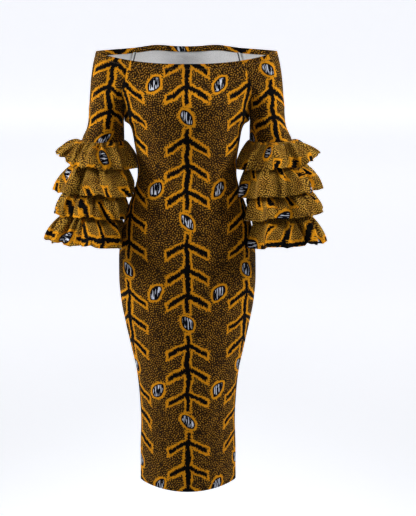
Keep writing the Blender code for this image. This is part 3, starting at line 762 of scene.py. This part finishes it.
def jersey_reverse(name):
    """The unprinted back of the jersey: pale grey loops, quite matt, a little uneven."""
    material, tree, shader = new_material(name, roughness=0.9, sheen=0.05, specular=0.2)
    known = cloth_measures(tree, ("slub", "patch", "grain"))
    work_out(tree, JERSEY_SUMS, known)
    work_out(tree, (("cloudy", "MULTIPLY_ADD", "patch", 6.0, -3.0),
                    ("loops", "MULTIPLY_ADD", "grain", 8.0, -3.4)), known)
    dyes = (("#D9D9DA", "cloudy", 2.2), ("#CFCFD0", "loops", 1.6))
    tree.links.new(dyed(tree, "#ECECEC", dyes, known), shader.inputs["Base Color"])
    give_relief(tree, shader, known["relief"], 0.5)
    return material


def spun_thread(name, light, dark):
    """Spun polyester sewing thread, about 0.3 mm across, whose twist shows as a slanting stripe."""
    material, tree, shader = new_material(name, roughness=0.55, sheen=0.1, specular=0.4)
    place = add_node(tree, "ShaderNodeTexCoord").outputs["Object"]
    twist = add_node(tree, "ShaderNodeTexWave", {"bands_direction": "DIAGONAL"},
                     {"Vector": place, "Scale": 900.0, "Distortion": 1.0}).outputs["Fac"]
    known = work_out(tree, (("ply", "SUBTRACT", "twist", 0.5),), {"twist": twist})
    tree.links.new(dyed(tree, light, ((dark, "ply", 0.4),), known), shader.inputs["Base Color"])
    return material


# The body and sleeves wear the print as it is. The ruffles wear a lighter, yellower copy with
# thinner, paler crackle lines: painted light, standing for the extra light that the ruffles catch.
PRINT = wax_print_jersey("wax_printed_jersey", "#B07C22", "#261A0A", -5.3, 10.4)
PAINTED_LIGHTER_PRINT = wax_print_jersey("wax_printed_jersey_painted_lighter", "#D6A53C", "#432C0F", -4.9, 9.2)
REVERSE = jersey_reverse("jersey_reverse")
OCHRE_THREAD = spun_thread("spun_thread_ochre", "#8A6220", "#4A3210")
# The overlock thread's dark grey is partly its own colour and partly painted shade, standing for the
# shade beside the seam allowances.
OVERLOCK_THREAD_AND_SHADE = spun_thread("spun_thread_grey_and_painted_shade", "#403F3D", "#282726")


# Each piece's grid of middle points and normals, and the piece itself.
FORMS, PIECES = {}, {}


def cloth_wall(name, middle, normals, u, v, half=CLOTH / 2, closed=False, turned=None,
               materials=(PRINT, REVERSE)):
    """A closed wall of cloth: a grid of middle points moved half a thickness to each side, with
    rims round its free edges. u and v are each point's place on the flat cloth; a closed grid
    has one more column of them. turned marks the rows whose inside shows turned-in print."""
    FORMS[name] = middle, normals
    rows, columns = middle.shape[:2]
    size, last = rows * columns, columns if closed else columns - 1
    half = np.broadcast_to(np.asarray(half, float), (rows, columns))[..., None]
    points = np.concatenate([middle + half * normals, middle - half * normals]).reshape(-1, 3) * MM
    uv = np.stack([u, v], -1)
    down, along = np.arange(rows - 1), np.arange(last)
    i, j = np.meshgrid(down, along, indexing="ij")
    k = (j + 1) % columns
    corners = np.stack([i * columns + j, i * columns + k, (i + 1) * columns + k,
                        (i + 1) * columns + j], axis=-1).reshape(-1, 4)
    places = np.stack([uv[i, j], uv[i, j + 1], uv[i + 1, j + 1], uv[i + 1, j]],
                      axis=2).reshape(-1, 4, 2)
    a, b, c = (points[corners[:, n]] for n in (0, 1, 2))
    if np.sum(np.cross(b - a, c - b) * normals.reshape(-1, 3)[corners[:, 0]]) < 0:
        corners, places = corners[:, ::-1], places[:, ::-1]
    reverse = np.ones(len(corners), int) if turned is None else 1 - turned[i.reshape(-1)]
    faces = [corners, corners[:, ::-1] + size]
    uvs = [places, places[:, ::-1]]
    kinds = [np.zeros(len(corners), int), reverse]
    # Each rim: the points that it runs from and to, their places, and the step inwards from it.
    rims = [(row * columns + along, row * columns + (along + 1) % columns,
             uv[row, along], uv[row, along + 1], step)
            for row, step in ((0, columns), (rows - 1, -columns))]
    if not closed:
        rims += [(down * columns + column, (down + 1) * columns + column,
                  uv[down, column], uv[down + 1, column], step)
                 for column, step in ((0, 1), (columns - 1, -1))]
    for start, end, place, next_place, step in rims:
        rim = np.stack([start, end, end + size, start + size], axis=1)
        rim_uv = np.stack([place, next_place, next_place, place], axis=1)
        away = np.cross(points[end] - points[start], points[end + size] - points[end])
        if np.sum(away * (points[start] - points[start + step])) < 0:
            rim, rim_uv = rim[:, ::-1], rim_uv[:, ::-1]
        faces.append(rim)
        uvs.append(rim_uv)
        kinds.append(np.zeros(len(rim), int))
    piece = new_piece(name, points.tolist(), np.concatenate(faces).tolist(), *materials)
    data = piece.data
    layer = data.uv_layers.new(name="cut")
    layer.data.foreach_set("uv", (np.concatenate(uvs).reshape(-1) * MM).astype(np.float32))
    data.polygons.foreach_set("material_index", np.concatenate(kinds).astype(np.int32))
    data.set_sharp_from_angle(angle=math.radians(55))
    data.update()
    PIECES[name] = piece


def cut_from(points):
    """Lengths across and down a grid, for its place on the flat cloth."""
    across = arc_across(points)
    return across, np.broadcast_to(arc_down(points)[:, None], across.shape)


def seam_dip(points, depth=0.9, reach=4.0):
    """How far a grid is drawn in beside its two seams: a bell over the length from each."""
    along = run_along(points)
    return -sum(depth * np.exp(-(((along - along[:, [seam]]) / reach) ** 2)) for seam in (0, -1))


def panel_form(facing):
    """Rows from the neck edge down to the hem, each the row of the solids at that height."""
    turns = np.linspace(-math.pi / 2, math.pi / 2, PANEL_STRIPS + 1)
    shares = np.linspace(1.0, 0.0, YOKE_ROWS)[:-1]
    heights = np.concatenate([np.linspace(UNDERARM_Z, FINE_END_Z, FINE_ROWS)[:-1],
                              np.linspace(FINE_END_Z, HEM_Z, SKIRT_ROWS)])
    return np.array([panel_row_above(share, facing, turns) for share in shares]
                    + [panel_row_below(z, facing, turns) for z in heights])


def sleeve_form(side_name):
    """An open yoke above the underarm, then rings down to the cuff."""
    turns = np.linspace(0.0, 2 * math.pi, SLEEVE_STRIPS + 1)
    shares = np.linspace(1.0, 0.0, YOKE_ROWS)
    heights = np.linspace(UNDERARM_Z, CUFF_Z, SLEEVE_ROWS)[1:]
    return np.array([sleeve_row_above(share, SIDES[side_name]) for share in shares]
                    + [sleeve_row_below(z, side_name, turns) for z in heights])


def hem_swell(down, width=3.0, extra=0.45, soft=0.5):
    """Extra half thickness of a narrow rolled hem at the last rows of a grid."""
    return extra / (1 + np.exp((down[-1] - down - width) / soft))


def lived_in(points, outwards, table, seed, wave, neck_calm, seam_calm):
    """An open grid with a table's creases and slow waves, faded out within one length of the neck
    edge and another of its seams, which are drawn in. It comes with its new normals and its
    lengths across and down from before."""
    normals = outward_normals(points, False, outwards)
    across, down = cut_from(points)
    heights = np.broadcast_to(points[:, [points.shape[1] // 2], 2], across.shape)
    lift = creased(across, heights, table) + WAVE_HEIGHT * slow_waves(across, heights, wave, seed)
    calm = np.clip((NECK_SIDE_Z - points[..., 2]) / neck_calm, 0.0, 1.0)
    edge = np.minimum(across - across[:, [0]], across[:, [-1]] - across) / seam_calm
    lift = lift * calm * np.clip(edge, 0.0, 1.0)
    points = points + (lift + seam_dip(points))[..., None] * normals
    return points, outward_normals(points, False, outwards), across, down


def build_panel(name, facing, table, seed):
    form = panel_form(facing)
    outwards = np.zeros_like(form)
    outwards[..., 1] = facing
    points, normals, across, down = lived_in(form, outwards, table, seed, wave=150.0,
                                             neck_calm=60.0, seam_calm=22.0)
    low = points[:, 0, 2] <= UNDERARM_Z + 0.5
    for column in (0, PANEL_STRIPS):
        points[low, column, 1] += facing * SEAM_GAP
        points[~low, column, 0] -= np.sign(points[~low, column, 0]) * SEAM_GAP
    hem_start = down[-1, 0] - TURNED_HEM
    turned = np.arange(len(points) - 1) >= np.searchsorted(down[:, 0], hem_start)
    half = CLOTH / 2 + HEM_EXTRA * (down > hem_start)
    cloth_wall(name, points, normals, across, down, half, turned=turned)


def build_sleeve(name, side_name, seed):
    side, form = SIDES[side_name], sleeve_form(side_name)
    outwards = np.zeros_like(form)
    outwards[..., 0] = side * (np.abs(form[..., 0]) - ARM_MIDDLE_X)
    outwards[..., 1] = form[..., 1]
    high = form[:, 0, 2] > UNDERARM_Z + 0.5
    points, normals, across, down = lived_in(form, outwards, SLEEVE_CREASES[side_name], seed,
                                             wave=90.0, neck_calm=40.0, seam_calm=14.0)
    normals[~high, 0] = normals[~high, -1] = unit(normals[~high, 0] + normals[~high, -1])
    for column, facing in ((0, -1.0), (-1, 1.0)):
        points[~high, column, 1] += facing * UNDERARM_GAP
        points[high, column, 0] += side * SEAM_GAP
    u_shift, v_shift = SLEEVE_PRINT[side_name]
    cloth_wall(name, points, normals, across + u_shift, down + v_shift)


def ruffle_form(side_name, number, seed):
    """A ring on the sleeve, gathered, that stands out towards its hem in flutes: each line
    down it is seam + reach * (1 - (1 - t)^puff) outwards and drop * t^fall downwards. Crests
    are drawn together, so that they are narrower than the hollows between them."""
    row = dict(zip(RUFFLE_HEADINGS, RUFFLES[side_name][number - 1]))
    side = SIDES[side_name]
    turns = np.linspace(0.0, 2 * math.pi, RUFFLE_STRIPS, endpoint=False)
    level = np.zeros_like(turns)
    away = np.stack([-side * np.cos(turns), -np.sin(turns), level], axis=1)
    aside = np.stack([side * np.sin(turns), -np.cos(turns), level], axis=1)
    seam = sleeve_row_below(row["z"], side_name, turns) + (CLOTH + SEAM_GAP) * away
    stand = np.interp(turns, np.radians([0, 90, 180, 270, 360]),
                      [row[name] for name in ("inner", "front", "out", "back", "inner")])
    stand = 0.5 * stand + 0.25 * (np.roll(stand, STAND_BLEND) + np.roll(stand, -STAND_BLEND))
    crest = math.radians(row["crest_deg"])
    # Two slow waves set the flutes at uneven distances.
    drift = 1.6 * np.sin(2 * turns - 2 * crest) + np.sin(3 * turns - 3 * crest)
    fold = row["waves"] * (turns - crest) + row["uneven"] * drift
    swing = np.minimum(row["depth"] * (1 + row["uneven"] * np.cos(2 * turns - crest)),
                       MOST_SWING * stand)
    reach = stand + swing * (np.cos(fold) + FLUTE_LEAN * np.cos(2 * fold + LEAN_START))
    chord = CHORD * row["length"]
    drop = ((1 - HEM_LIFT) * np.sqrt(chord**2 - stand**2)
            + HEM_LIFT * np.sqrt(np.maximum(chord**2 - reach**2, 0.0)))
    sway = -FLUTE_SWAY * swing * np.sin(fold)
    tip = dict(zip(TIP_HEADINGS, RUFFLE_TIPS.get((side_name, number), NO_TIP)))
    raised = np.exp(-(((np.degrees(turns) - tip["bearing"]) / tip["breadth"]) ** 2))
    numbers = np.random.default_rng(seed)
    gathers = [dict(zip(GATHER_HEADINGS, row), start=numbers.uniform(0, 6.28)) for row in GATHERS]
    rows = []
    for share in np.linspace(0.0, 1.0, RUFFLE_ROWS + 1):
        out = (reach + tip["out"] * raised) * (1 - (1 - share) ** PUFF)
        for gather in gathers:
            depth = share / gather["deepest"]
            out = out + (gather["height"] * depth * math.exp(1 - depth)
                         * np.sin(gather["count"] * turns + gather["start"]))
        point = seam + out[:, None] * away + (sway * share**SWAY_POWER)[:, None] * aside
        point[:, 2] += tip["up"] * raised * share ** tip["power"] - drop * share**FALL
        rows.append(point)
    return np.array(rows), away


def clear_of_skirt(points, side):
    """Bends a grid away from the skirt, softly, where it would come too close."""
    limit = skirt_side_x(points[..., 1], points[..., 2]) + BODY_CLEARANCE
    room = (side * points[..., 0] - limit) / SOFTNESS
    far = 20.0               # where easing no longer changes anything
    eased = np.where(room > far, room, np.log1p(np.exp(np.minimum(room, far))))
    points[..., 0] = side * (limit + SOFTNESS * eased)
    return points


def build_ruffle(name, side_name, number):
    side = SIDES[side_name]
    points, away = ruffle_form(side_name, number, seed=20 + number + 10 * (side_name == "left"))
    outwards = np.broadcast_to(away, points.shape)
    hem = arc_across(joined_up(points[-1:]))[0]
    down = arc_down(points)[:, None]
    across = np.broadcast_to(hem[:-1], points.shape[:2])
    below = np.broadcast_to(-down, points.shape[:2])
    lift = creased(across, below, RUFFLE_CREASES[side_name][number - 1], FOLD_SHARP)
    lift = (FOLD_HEIGHT * lift * np.clip(down / FOLD_START, 0.0, 1.0))[..., None]
    points = points + lift * outward_normals(points, True, outwards)
    round_arm = np.stack([-away[:, 1], away[:, 0], 0 * away[:, 0]], axis=1) * side
    points = points + FOLD_LEAN * lift * round_arm
    points[..., 2] -= HEM_NOTCH * lift[..., 0] * (down / down[-1]) ** 2
    points = clear_of_skirt(points, side)
    normals = outward_normals(points, True, outwards)
    u_shift, v_shift = RUFFLE_PRINT[side_name][number - 1]
    u, v = np.broadcast_arrays(down + u_shift, hem + v_shift)
    # The ruffle wears the lighter copy of the print, whose extra brightness is painted light.
    cloth_wall(name, points, normals, u, v, CLOTH / 2 + hem_swell(down), closed=True,
               materials=(PAINTED_LIGHTER_PRINT, REVERSE))


def below_neck(name, depth):
    """The cloth's middle points and normals at a depth below the neck edge, one a column."""
    return part_way(*(grid[:NECK_REACH].swapaxes(0, 1) for grid in FORMS[name]), depth)


def build_neck_casing(name):
    """The neck edge turned in all round, with its print on the wearer's side."""
    depths = np.linspace(0.0, CASING_HEIGHT, CASING_ROWS)
    rows = []
    for depth in depths:
        ring = []
        for above, step in (("front_panel", 1), ("base_sleeve_left", 1), ("back_panel", -1),
                            ("base_sleeve_right", -1)):
            points, normals = below_neck(above, depth)
            inwards = (points - (CLOTH + LAID_GAP) * normals)[::step]
            ring.append(inwards if above.endswith("panel") else inwards[1:-1])
        rows.append(np.concatenate(ring))
    points = np.array(rows)
    normals = outward_normals(points, True, -points * (1.0, 1.0, 0.0))
    across = arc_across(joined_up(points))
    v = np.broadcast_to(-depths[:, None], across.shape)
    cloth_wall(name, points, normals, across, v, closed=True)


def build_stitches(name, on, path, normals, thread, spacing=3.2, size=(2.4, 0.42, 0.22), slant=0.0):
    """A row of stitches along a path: each is a thread's grain, six-sided with pointed ends,
    pressed half into the cloth and turned by slant from the row."""
    run = run_along(path[None])[0]

    def read(values, at):
        return np.stack([np.interp(at, run, values[:, axis]) for axis in range(3)], axis=1)

    at = np.arange(spacing / 2, run[-1], spacing)
    centres = read(path, at)
    ahead = unit(read(path, at + 0.5) - read(path, at - 0.5))
    up = unit(read(normals, at))
    beside = unit(np.cross(up, ahead))
    along = math.cos(slant) * ahead + math.sin(slant) * beside
    beside = np.cross(up, along)
    length, width, height = size
    turns = np.arange(6) * math.pi / 3
    rings = [centres[:, None] + end * length / 2 * along[:, None]
             + np.cos(turns)[:, None] * width / 2 * beside[:, None]
             + np.sin(turns)[:, None] * height / 2 * up[:, None] for end in (-0.55, 0.55)]
    poles = [(centres + end * length / 2 * along)[:, None] for end in (-1.0, 1.0)]
    points = np.concatenate(rings + poles, axis=1)
    # A stitch has two rings of six points, 0 to 11, and a pole at each end, 12 and 13.
    sides = [(k, (k + 1) % 6) for k in range(6)]
    one = [(k, n, n + 6, k + 6) for k, n in sides]
    one += [(12, n, k) for k, n in sides] + [(13, k + 6, n + 6) for k, n in sides]
    faces = [tuple(v + 14 * stitch for v in face) for stitch in range(len(at)) for face in one]
    piece = new_piece(name, (points.reshape(-1, 3) * MM).tolist(), faces, thread)
    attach(piece, "root")
    ON_CLOTH[on].append(piece)


def build_allowance(seam, place, on, column, rows, spacing, size, width=8.5):
    """Two seam allowances laid flat inside, beside a seam, and the overlocking that binds them,
    which runs along the fourth of their five columns."""
    name = f"{seam}_allowance_{place}"
    points, normals = (grid[rows, ::-1 if column else 1][:, :ALLOWANCE_REACH] for grid in FORMS[on])
    strips = []
    for offset in np.linspace(0.4, width, 5):
        middle, normal = part_way(points, normals, offset)
        strips.append((middle - ALLOWANCE_LIFT * normal, -normal))
    grid, facing = np.array(strips).transpose(1, 2, 0, 3)
    cloth_wall(name, grid, facing, *cut_from(grid), ALLOWANCE_HALF * CLOTH,
               materials=(REVERSE, REVERSE))
    ON_CLOTH[on].append(PIECES[name])
    build_stitches(f"{seam}_overlock_{place}", on, grid[:, 3] + OVERLOCK_PROUD * facing[:, 3],
                   facing[:, 3], OVERLOCK_THREAD_AND_SHADE, spacing, size, OVERLOCK_SLANT)


def hem_line(name, above, proud):
    """A line of points on the outside of a grid, and their normals, a length above its last
    row."""
    points, normals = FORMS[name]
    down = arc_down(points)
    row = int(np.searchsorted(down, down[-1] - above))
    return points[row] + proud * normals[row], normals[row]


RUFFLE_KEYS = [f"{side_name}_{number}" for side_name in SIDES for number in range(1, 5)]
STANDS_FOR = {"front_panel": "dress_front", "back_panel": "dress_back",
              "base_sleeve_left": "sleeve_left", "base_sleeve_right": "sleeve_right",
              "turned_neck_edge": "neck_casing",
              **{f"flounce_{key}": f"ruffle_{key}" for key in RUFFLE_KEYS}}
ON_CLOTH = {name: [] for name in STANDS_FOR}
PANELS = {"front_panel": "front", "back_panel": "back"}
STRETCHED = {**PANELS, "base_sleeve_left": "left", "base_sleeve_right": "right"}
SEAM_COLUMNS = ((0, "right"), (1, "left"))
NECK_ROWS = (11.4, 13.0)     # of stitching, below the neck edge
HEM_ROWS = (18.0, 21.5)      # of stitching, above the hem
RUFFLE_HEM_ROW = 3.4
# Stitches: from one to the next, then the length, width and height of each.
ARMHOLE_OVERLOCK = (1.25, (5.4, 1.05, 0.35))
SIDE_OVERLOCK = (2.4, (5.4, 0.5, 0.3))

build_panel("front_panel", -1.0, FRONT_CREASES, 3)
build_panel("back_panel", 1.0, BACK_CREASES, 4)
for side_name in SIDES:
    build_sleeve(f"base_sleeve_{side_name}", side_name, 5)
    for number in range(1, 5):
        build_ruffle(f"flounce_{side_name}_{number}", side_name, number)
build_neck_casing("turned_neck_edge")

for panel, key in PANELS.items():
    for column, side_name in SEAM_COLUMNS:
        build_allowance("armhole", f"{key}_{side_name}", panel, column, slice(3, YOKE_ROWS),
                        *ARMHOLE_OVERLOCK)
for column, side_name in SEAM_COLUMNS:
    build_allowance("side", side_name, "back_panel", column, slice(YOKE_ROWS, None),
                    *SIDE_OVERLOCK)
for panel, key in STRETCHED.items():
    for row, depth in enumerate(NECK_ROWS, start=1):
        path, normals = below_neck(panel, depth)
        build_stitches(f"neck_stitching_{key}_{row}", panel, path + CLOTH / 2 * normals, normals,
                       OCHRE_THREAD)
for panel, key in PANELS.items():
    for row, above in enumerate(HEM_ROWS, start=1):
        build_stitches(f"hem_stitching_{key}_{row}", panel,
                       *hem_line(panel, above, CLOTH / 2 + LAID_GAP), OCHRE_THREAD)
for key in RUFFLE_KEYS:
    line = hem_line(f"flounce_{key}", RUFFLE_HEM_ROW, CLOTH / 2 + SEAM_GAP)
    build_stitches(f"flounce_hem_stitching_{key}", f"flounce_{key}",
                   *(np.vstack([values, values[:1]]) for values in line), OCHRE_THREAD)

for name in PIECES:
    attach(PIECES[name], "root")
    if name in STANDS_FOR:
        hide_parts(STANDS_FOR[name])


# The room, the lights and the camera are in metres, with the beams of the lights in degrees.
FLOOR_Z = -1.62
FLOOR_HALF_WIDTH, FLOOR_FRONT = 24.0, -14.0
BEND_START, BEND_RADIUS, WALL_TOP = 18.0, 6.0, 16.0
# The backdrop's glow, in steps: from and to are distances behind the dress.
GLOW_HEADINGS = ("From Min", "From Max", "To Min", "To Max")
GLOWS = ((0.1, 0.9, 0.12, 0.50), (0.9, 4.2, 0.0, 0.28), (8.0, 14.0, 0.0, -0.08))
WORLD_STRENGTH = 0.12
PANEL_LIGHT_HEADINGS = ("name", "place", "target", "size", "power", "beam")
PANEL_LIGHTS = (
    ("right_panel", (2.7, -0.5, 1.0), (0.1, 0.0, -0.15), 0.8, 13.5, 70.0),
    ("left_panel", (-2.7, -0.5, 0.9), (-0.1, 0.0, -0.2), 0.8, 14.5, 70.0),
    ("overhead_panel", (0.0, -0.1, 2.3), (0.0, 0.0, 0.0), 1.4, 17.0, 180.0),
    ("back_panel_light", (0.2, 2.4, 1.6), (0.0, 0.0, -0.4), 1.6, 14.0, 180.0),
)
# Narrow spots from one place light the body from the chest to the hem, and not the sleeves.
SPOT_PLACE, SPOT_BEAM, SPOT_SIZE = (0.0, -2.9, 0.8), 8.0, 0.1
SPOT_HEADINGS = ("target_z", "power")
SPOTS = ((-0.08, 24.0), (-0.34, 54.0), (-0.60, 26.0), (-0.86, 16.0))
CAMERA_PLACE = (0.0, -2.8, 0.10)
CAMERA_DIP, CAMERA_TURN = 11.8, -1.03
LENS, SENSOR = 81.63, 36.0   # millimetres


def build_floor():
    """A pale floor well below the hem, which bends up into a wall far behind. Its far half
    glows as a lit backdrop does."""
    material, tree, shader = new_material("white_studio_floor", 0.9, 0.0, 0.1)
    shader.inputs["Base Color"].default_value = linear("#F1F3F6")
    shader.inputs["Emission Color"].default_value = linear("#F9FAFF")
    place = add_node(tree, "ShaderNodeTexCoord").outputs["Object"]
    behind = add_node(tree, "ShaderNodeSeparateXYZ", None, {"Vector": place}).outputs["Y"]
    glow = 0.0
    for row in GLOWS:
        step = add_node(tree, "ShaderNodeMapRange", {"interpolation_type": "SMOOTHSTEP"},
                        {"Value": behind, **dict(zip(GLOW_HEADINGS, row))}).outputs[0]
        glow = work_out(tree, (("sum", "ADD", "glow", "step"),), {"glow": glow, "step": step})["sum"]
    tree.links.new(glow, shader.inputs["Emission Strength"])
    profile = [(FLOOR_FRONT, FLOOR_Z), (0.0, FLOOR_Z)]
    profile += [(BEND_START + BEND_RADIUS * math.sin(t), FLOOR_Z + BEND_RADIUS * (1 - math.cos(t)))
                for t in np.linspace(0.0, math.pi / 2, 24)]
    profile.append((BEND_START + BEND_RADIUS, WALL_TOP))
    points = [(x, y, z) for y, z in profile for x in (-FLOOR_HALF_WIDTH, FLOOR_HALF_WIDTH)]
    faces = [(2 * n, 2 * n + 1, 2 * n + 3, 2 * n + 2) for n in range(len(profile) - 1)]
    new_piece("studio_floor", points, faces, material)


def build_world():
    """Pale light from all round, which only lifts the shadows."""
    world = bpy.data.worlds.new("pale_studio")
    bpy.context.scene.world = world
    world.use_nodes = True
    background = world.node_tree.nodes["Background"]
    background.inputs["Color"].default_value = linear("#FAFBFF")
    background.inputs["Strength"].default_value = WORLD_STRENGTH


def add_light(name, kind, place, target, **settings):
    lamp = bpy.data.lights.new(name, kind)
    for setting, value in settings.items():
        setattr(lamp, setting, value)
    light = bpy.data.objects.new(name, lamp)
    light.location = place
    light.rotation_euler = (Vector(target) - Vector(place)).to_track_quat("-Z", "Y").to_euler()
    bpy.context.scene.collection.objects.link(light)


def build_lights():
    """Soft panels at both sides, overhead and behind, and a column of narrow spots in front."""
    for row in PANEL_LIGHTS:
        panel = dict(zip(PANEL_LIGHT_HEADINGS, row))
        add_light(panel["name"], "AREA", panel["place"], panel["target"], shape="SQUARE",
                  size=panel["size"], energy=panel["power"], spread=math.radians(panel["beam"]))
    for number, row in enumerate(SPOTS, start=1):
        spot = dict(zip(SPOT_HEADINGS, row))
        add_light(f"front_spot_{number}", "SPOT", SPOT_PLACE, (0.0, 0.0, spot["target_z"]),
                  spot_size=math.radians(SPOT_BEAM), spot_blend=1.0, shadow_soft_size=SPOT_SIZE,
                  energy=spot["power"])


def build_camera():
    data = bpy.data.cameras.new("camera")
    data.sensor_width, data.sensor_fit, data.lens = SENSOR, "AUTO", LENS
    data.clip_start, data.clip_end = 0.05, 100.0
    camera = bpy.data.objects.new("camera", data)
    camera.location = CAMERA_PLACE
    camera.rotation_euler = (math.radians(90 - CAMERA_DIP), 0.0, math.radians(CAMERA_TURN))
    bpy.context.scene.collection.objects.link(camera)
    bpy.context.scene.camera = camera


build_floor()
build_world()
build_lights()
build_camera()
bpy.context.scene.view_settings.view_transform = "Standard"
